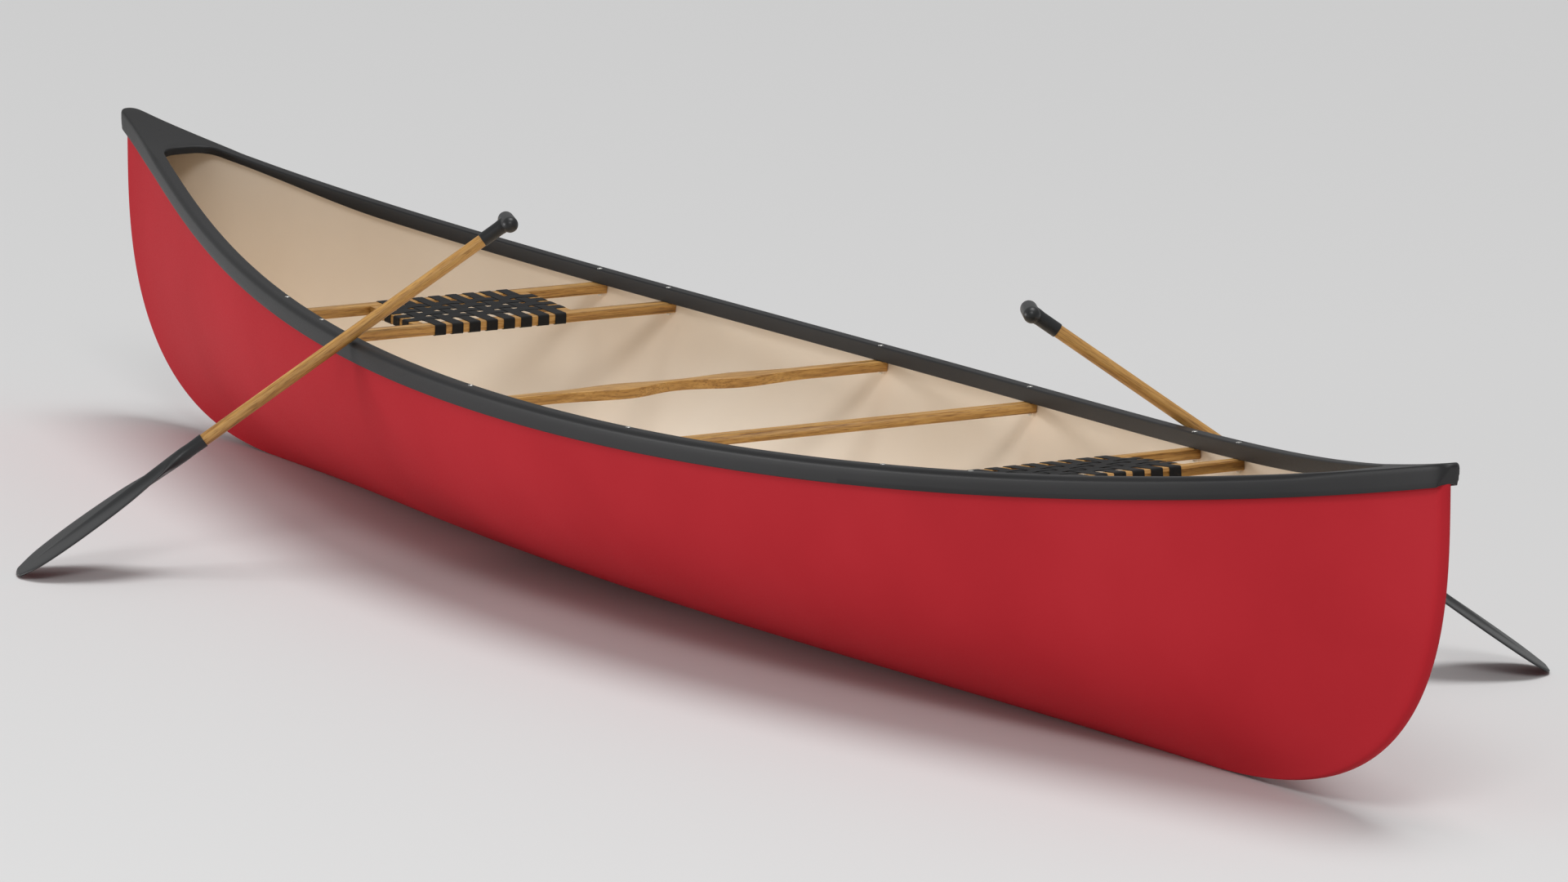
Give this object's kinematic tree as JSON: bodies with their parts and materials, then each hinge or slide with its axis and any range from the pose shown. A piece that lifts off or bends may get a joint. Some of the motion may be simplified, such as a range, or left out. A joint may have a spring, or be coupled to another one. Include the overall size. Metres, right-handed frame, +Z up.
{
  "type": "canoe",
  "caption": "Open tandem canoe with moulded hull, vinyl gunwales and decks, two webbed wooden seats, yoke and thwart, and two paddles leaning on its sides.",
  "frame": {"origin": "on the flat of the keel, midway between the ends of the canoe, at floor height", "axes": "+X to the bow, +Y to port, +Z up"},
  "size_m": [4.98, 2.071, 0.699],
  "materials": {
    "hull_red": "satin moulded plastic",
    "liner_cream": "fine grained matte plastic",
    "vinyl_black": "extruded and moulded vinyl, soft sheen",
    "ash_wood": "oiled, straight grained",
    "webbing": "woven nylon",
    "bolt_steel": "stainless, lightly polished",
    "paddle_black": "moulded, soft sheen"
  },
  "bodies": {
    "hull": {"hull_shell": "hull_red", "hull_liner": "liner_cream", "gunwale_port": "vinyl_black", "gunwale_starboard": "vinyl_black", "bow_deck": "vinyl_black", "stern_deck": "vinyl_black", "yoke": "ash_wood", "thwart": "ash_wood", "gunwale_bolts": "bolt_steel", "bolt_washers": "bolt_steel", "bolt_nuts": "bolt_steel", "bow_seat_front_bar": "ash_wood", "bow_seat_rear_bar": "ash_wood", "bow_seat_port_rail": "ash_wood", "bow_seat_starboard_rail": "ash_wood", "bow_seat_dowels": "ash_wood", "bow_seat_long_straps": "webbing", "bow_seat_cross_straps": "webbing", "stern_seat_front_bar": "ash_wood", "stern_seat_rear_bar": "ash_wood", "stern_seat_port_rail": "ash_wood", "stern_seat_starboard_rail": "ash_wood", "stern_seat_dowels": "ash_wood", "stern_seat_long_straps": "webbing", "stern_seat_cross_straps": "webbing"},
    "port_paddle": {"port_paddle_blade": "paddle_black", "port_paddle_shaft": "ash_wood", "port_paddle_grip": "paddle_black"},
    "starboard_paddle": {"starboard_paddle_blade": "paddle_black", "starboard_paddle_shaft": "ash_wood", "starboard_paddle_grip": "paddle_black"}
  },
  "joints": [
    {"name": "port_paddle_lift", "type": "slide", "parent": "hull", "child": "port_paddle", "axis": [0, 0, 1], "range_m": [0, 0.5]},
    {"name": "starboard_paddle_lift", "type": "slide", "parent": "hull", "child": "starboard_paddle", "axis": [0, 0, 1], "range_m": [0, 0.5]}
  ]
}
